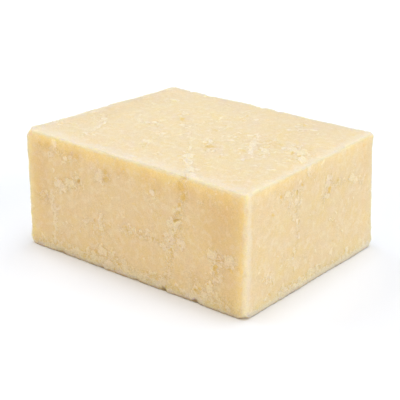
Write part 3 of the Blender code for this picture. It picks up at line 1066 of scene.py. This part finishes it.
def cheese_material(colours, sizes):
    """Translucent curd: near creams in drifts, paler crumbs, riper patches, pits and a fine grain, with
    painted
    light: a yellow glow inside the edges, bounce light over the floor, and shade along the edges, round
    crumbs, in pits, at the foot and over the far side of the top.

    The surface's own paleness rises softly towards each crumb. Noise is added to it, and the sum is cut
    off sharply, so each crumb gets a crisp, uneven outline, which is also raised a little.
    """
    nodes = Nodes("pale_curd")
    place = nodes.place()
    rough = nodes.attribute("rough")

    # Drifts of near colours, from the widest to the finest.
    drift = nodes.ramp(nodes.noise(place, DRIFT_SIZE, 4.0), 0.38, 0.65, 0.0, 0.7)
    body = nodes.mix(drift, colours.curd, colours.curd_warm)
    blush = nodes.noise(nodes.place((1.3, 0.8, 1.1)), BLUSH_SIZE, 3.0)
    body = nodes.mix(nodes.ramp(blush, 0.42, 0.72, 0.0, 0.6), body, colours.blush)
    # A yellower, lighter rim inside the edges and over the floor: painted glow of light through the edges,
    # and painted bounce light from the floor.
    body = nodes.mix(nodes.times(nodes.attribute("painted_warm_light"), 0.95), body, colours.rim)
    mottle = nodes.plus(nodes.noise(place, MOTTLE_SIZE, 4.0, 0.6), nodes.times(rough, 0.10))
    body = nodes.mix(nodes.ramp(mottle, 0.46, 0.70, 0.0, 0.75), body, colours.mottle)

    # Crumbs, the thin lines round them, and flecks.
    paleness = nodes.minus(nodes.noise(place, OUTLINE_SIZE, 3.0, 0.6), 0.5)
    # The pale share also holds painted bounce light over the floor.
    paleness = nodes.plus(nodes.attribute("pale"), paleness)
    crumb = nodes.ramp(paleness, 0.30, 0.58)
    body = nodes.mix(crumb, body, colours.crumb)
    # Painted shade in the creases: a thin darker line round each crumb.
    outline = nodes.times(nodes.ramp(paleness, 0.08, 0.26), nodes.ramp(paleness, 0.42, 0.28))
    outline = nodes.times(outline, nodes.ramp(rough, 0.10, 0.45, 0.0, 0.6))
    body = nodes.tint(outline, body, colours.crease)
    fleck = nodes.plus(nodes.noise(place, FLECK_SIZE, 3.0, 0.6), nodes.times(rough, 0.14))
    fleck = nodes.times(nodes.ramp(fleck, 0.60, 0.70), nodes.ramp(rough, 0.0, 0.5, 0.35, 0.8))
    body = nodes.mix(fleck, body, colours.mottle)

    # The edges, which are torn by noise, and spots of other curd.
    torn = nodes.minus(nodes.noise(place, TORN_SIZE, 4.0, 0.65), 0.5)
    torn = nodes.plus(nodes.attribute("edge"), torn)
    body = nodes.mix(nodes.ramp(torn, 0.15, 0.85, 0.0, 0.9), body, colours.edge)
    # Painted shade: the darker, greyer line along the edges and over the far side of the top.
    body = nodes.mix(nodes.attribute("line"), body, colours.line)
    body = nodes.mix(nodes.attribute("honey"), body, colours.honey)
    dots = nodes.noise(nodes.place((1.0, 1.1, 0.9)), DOT_SIZE, 3.0)
    dots = nodes.times(nodes.ramp(dots, 0.42, 0.28), nodes.plus(nodes.times(rough, 0.7), 0.2))
    body = nodes.tint(dots, body, colours.deep)
    # Riper patches, and painted shade darkening the far side of the top.
    body = nodes.tint(nodes.attribute("ripe_and_shade"), body, colours.ripe_and_shade)
    # Painted contact shade at the foot.
    body = nodes.tint(nodes.attribute("foot"), body, colours.foot)

    # Pits, in two steps, and the fine grain.
    deep = nodes.attribute("deep")
    # A deeper yellow, partly painted shade, in pits, holes, chips and creases; then painted shade in the
    # deepest pits.
    body = nodes.tint(nodes.ramp(deep, 0.0, 0.5), body, colours.deep)
    body = nodes.tint(nodes.ramp(deep, 0.5, 1.0), body, colours.shade)
    grain = nodes.ramp(nodes.noise(place, GRAIN_SIZE, 2.0, 0.6), 0.64, 0.34)
    grain = nodes.times(grain, nodes.ramp(rough, 0.0, 0.4, 0.55, 1.0))
    body = nodes.tint(grain, body, colours.grain)

    height = nodes.times(nodes.noise(place, FINE_SIZE, 1.0), 0.3)
    height = nodes.plus(nodes.noise(place, ROUGH_SIZE, 3.0, 0.65), height)
    height = nodes.plus(nodes.times(crumb, 0.5), height)
    height = nodes.plus(nodes.times(fleck, 0.35), height)
    height = nodes.minus(height, nodes.times(dots, 0.35))
    roughness = nodes.ramp(nodes.noise(place, SHINE_SIZE, 3.0), 0.3, 0.7, 0.52, 0.68)
    shader = nodes.shader.inputs
    nodes.link(body, shader["Base Color"])
    nodes.link(roughness, shader["Roughness"])
    nodes.link(nodes.bump(height, 0.2, 1.0), shader["Normal"])
    nodes.constants({"Metallic": 0.0, "IOR": 1.44, "Specular IOR Level": 0.25})
    nodes.constants({"Subsurface Weight": sizes.glow, "Subsurface Scale": MM})
    nodes.constants({"Subsurface Radius": tuple(sizes.glow_reach)})
    return nodes.material


def floor_material(colour):
    """Matt white studio paper."""
    nodes = Nodes("studio_paper")
    nodes.constants({"Base Color": (*colour, 1.0), "Roughness": 1.0, "Specular IOR Level": 0.0})
    return nodes.material


# ---------------------------------------------------------------- stage


def aimed(thing, place, target):
    """Put a camera or a light at a place, in metres, turned to face a target."""
    thing.location = place
    thing.rotation_euler = (Vector(target) - Vector(place)).to_track_quat("-Z", "Y").to_euler()
    bpy.context.scene.collection.objects.link(thing)


def add_floor(stage):
    """A level square of paper under the block."""
    corners = np.array([(-1, -1, 0), (1, -1, 0), (1, 1, 0), (-1, 1, 0)]) * stage.floor_width / 2 / MM
    corners[:, 2] = CAD_LOW[2]
    floor = mesh_object("studio_floor", corners, np.array([[0, 1, 2, 3]]), {})
    floor.data.materials.append(floor_material(tuple(stage.floor_colour)))


def add_lights(stage):
    """Large soft lights far away, each from its own direction."""
    for name, (come_from, width, strength, tint) in SOFT_LIGHTS.items():
        light = bpy.data.lights.new(name, "SUN")
        light.energy = strength * stage.light_level
        light.angle = math.radians(width)
        light.color = tint
        aimed(bpy.data.objects.new(name, light), Vector(come_from), (0, 0, 0))


def add_world():
    """A room that gives no light and that the camera sees as white."""
    world = bpy.data.worlds.new("studio_room")
    world.use_nodes = True
    tree = world.node_tree
    room = tree.nodes["Background"]
    room.inputs["Color"].default_value = (1.0, 1.0, 1.0, 1.0)
    path = tree.nodes.new("ShaderNodeLightPath")
    tree.links.new(path.outputs["Is Camera Ray"], room.inputs["Strength"])
    bpy.context.scene.world = world


def add_camera(stage):
    """Camera on a circle round its target: azimuth 0 looks along +Y, and elevation lifts it."""
    camera = bpy.data.cameras.new("photo_camera")
    camera.lens = stage.lens
    camera.clip_start = 0.01
    camera.clip_end = 50.0
    turn, lift = stage.camera_azimuth, stage.camera_elevation
    back = Vector((math.sin(turn) * math.cos(lift), -math.cos(turn) * math.cos(lift), math.sin(lift)))
    target = Vector(stage.camera_target)
    thing = bpy.data.objects.new("photo_camera", camera)
    aimed(thing, target + back * stage.camera_distance, target)
    bpy.context.scene.camera = thing


# ---------------------------------------------------------------- add-on


def number(name, description, default, **more):
    """A property that holds one number."""
    return bpy.props.FloatProperty(name=name, description=description, default=default, **more)


def numbers(name, description, default, **more):
    """A property that holds three numbers."""
    return bpy.props.FloatVectorProperty(name=name, description=description, default=default, **more)


def colour(name, description, default):
    return numbers(name, description, default, subtype="COLOR", min=0.0, max=1.0)


class CheeseSizes(bpy.types.PropertyGroup):
    pitch: number("Grid pitch", "Width of a cell of the surface's grid, in millimetres", 0.40)
    triangles: bpy.props.IntProperty(
        name="Triangles", description="About how many triangles the finished block has", default=196000
    )
    edge_radius: number("Edge radius", "Usual radius of the worn top edges, in millimetres", 0.85)
    relief: number("Relief", "How strong the curd's relief is, 1 as on the block", 1.0)
    glow: number("Glow", "Share of the light that spreads inside the curd", 0.85, subtype="FACTOR")
    glow_reach: numbers(
        "Glow reach",
        "How far red, green and blue light spread inside the curd, in millimetres",
        (9.0, 7.5, 2.0),
    )


class CheeseColours(bpy.types.PropertyGroup):
    curd: colour("Curd", "Main colour of the cut curd", (0.756, 0.612, 0.385))
    curd_warm: colour("Warm curd", "Colour of the yellower drifts", (0.765, 0.60, 0.315))
    blush: colour("Blush", "Colour of the faintly pinker drifts", (0.766, 0.596, 0.352))
    mottle: colour("Mottle", "Colour of the faint pale mottling and flecks", (0.80, 0.685, 0.497))
    crumb: colour("Crumb", "Colour of the paler crumbs", (0.83, 0.715, 0.522))
    # The rim colour paints the glow of light through the edges, and the bounce light over the floor.
    rim: colour("Rim", "Colour of the yellow rim under the front's edges", (0.80, 0.646, 0.322))
    # The edge colour is paler and bluer than the curd, along the prow and the top edges there.
    edge: colour("Edge", "Colour of the bruised edges", (0.757, 0.66, 0.52))
    # The line colour is painted shade, darker and greyer than the curd.
    line: colour("Line", "Colour of the worn line along the edges", (0.61, 0.552, 0.455))
    honey: colour("Honey", "Colour of the honey-yellow spots", (0.83, 0.64, 0.27))
    # The foot tint is painted contact shade, darker and browner where the block meets the floor.
    foot: colour("Foot", "Tint of the stained foot, right over the floor", (0.95, 0.75, 0.52))
    # The ripe tint also paints shade over the far side of the top.
    ripe_and_shade: colour("Ripe", "Tint of the riper curd, over its own colour", (0.952, 0.897, 0.805))
    # The crease tint is painted shade in the creases round crumbs.
    crease: colour("Crease", "Tint of the thin lines round crumbs", (0.97, 0.90, 0.68))
    # The deep tint is partly painted shade in pits and creases.
    deep: colour("Deep", "Tint in shallow pits and creases", (0.97, 0.91, 0.66))
    shade: colour("Shade", "Tint in the deepest pits", (0.87, 0.78, 0.58))
    grain: colour("Grain", "Tint of the fine dark grain", (0.82, 0.816, 0.81))


class StudioStage(bpy.types.PropertyGroup):
    floor_colour: colour("Floor", "Colour of the floor", (0.83, 0.835, 0.835))
    floor_width: number("Floor width", "Width of the square floor", 6.0, unit="LENGTH")
    light_level: number("Lights", "Strength of all the soft lights", 1.0)
    lens: number("Lens", "Focal length on a 36 mm sensor", 93.06)
    camera_azimuth: number("Azimuth", "Camera's turn from the front", math.radians(39.72), subtype="ANGLE")
    camera_elevation: number(
        "Elevation", "Camera's lift over the floor", math.radians(21.46), subtype="ANGLE"
    )
    camera_distance: number("Distance", "Camera to its target", 0.4319, unit="LENGTH")
    camera_target: numbers(
        "Target", "The point in the middle of the view", (-0.00118, 0.0, 0.0194), unit="LENGTH"
    )


class CHEESE_OT_block(bpy.types.Operator):
    """Make the block of cheese in place of its CAD solid"""

    bl_idname = "cheese.block"
    bl_label = "Cheese block"

    def execute(self, context):
        sizes = context.scene.cheese_sizes
        pitch = sizes.pitch * 1.0
        points, quads, values = curd_surface(pitch, sizes.edge_radius, sizes.relief)
        block = mesh_object("curd_block", centred(points), quads, values)
        thinned(block, sizes.triangles)
        block.data.materials.append(cheese_material(context.scene.cheese_colours, sizes))
        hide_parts(NODE)
        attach(block, BODY)
        return {"FINISHED"}


class CHEESE_OT_stage(bpy.types.Operator):
    """Make the floor, the soft lights and the camera"""

    bl_idname = "cheese.stage"
    bl_label = "Studio stage"

    def execute(self, context):
        stage = context.scene.cheese_stage
        add_floor(stage)
        add_lights(stage)
        add_world()
        add_camera(stage)
        context.scene.view_settings.view_transform = "Standard"
        return {"FINISHED"}


class VIEW3D_PT_cheese(bpy.types.Panel):
    """Lists the steps that make the cheese"""

    bl_idname = "VIEW3D_PT_cheese"
    bl_label = "Crumbly cheese"
    bl_space_type = "VIEW_3D"
    bl_region_type = "UI"
    bl_category = "Cheese"

    def draw(self, context):
        for step in OPERATORS:
            self.layout.operator(step.bl_idname)


GROUPS = {"cheese_sizes": CheeseSizes, "cheese_colours": CheeseColours, "cheese_stage": StudioStage}
OPERATORS = (CHEESE_OT_block, CHEESE_OT_stage)


def register():
    for name, group in GROUPS.items():
        bpy.utils.register_class(group)
        setattr(bpy.types.Scene, name, bpy.props.PointerProperty(type=group))
    for step in (*OPERATORS, VIEW3D_PT_cheese):
        bpy.utils.register_class(step)


def unregister():
    for step in reversed((*OPERATORS, VIEW3D_PT_cheese)):
        bpy.utils.unregister_class(step)
    for name, group in reversed(GROUPS.items()):
        delattr(bpy.types.Scene, name)
        bpy.utils.unregister_class(group)


def main():
    """Make everything."""
    register()
    bpy.ops.cheese.block()
    bpy.ops.cheese.stage()


if __name__ == "__main__":
    main()
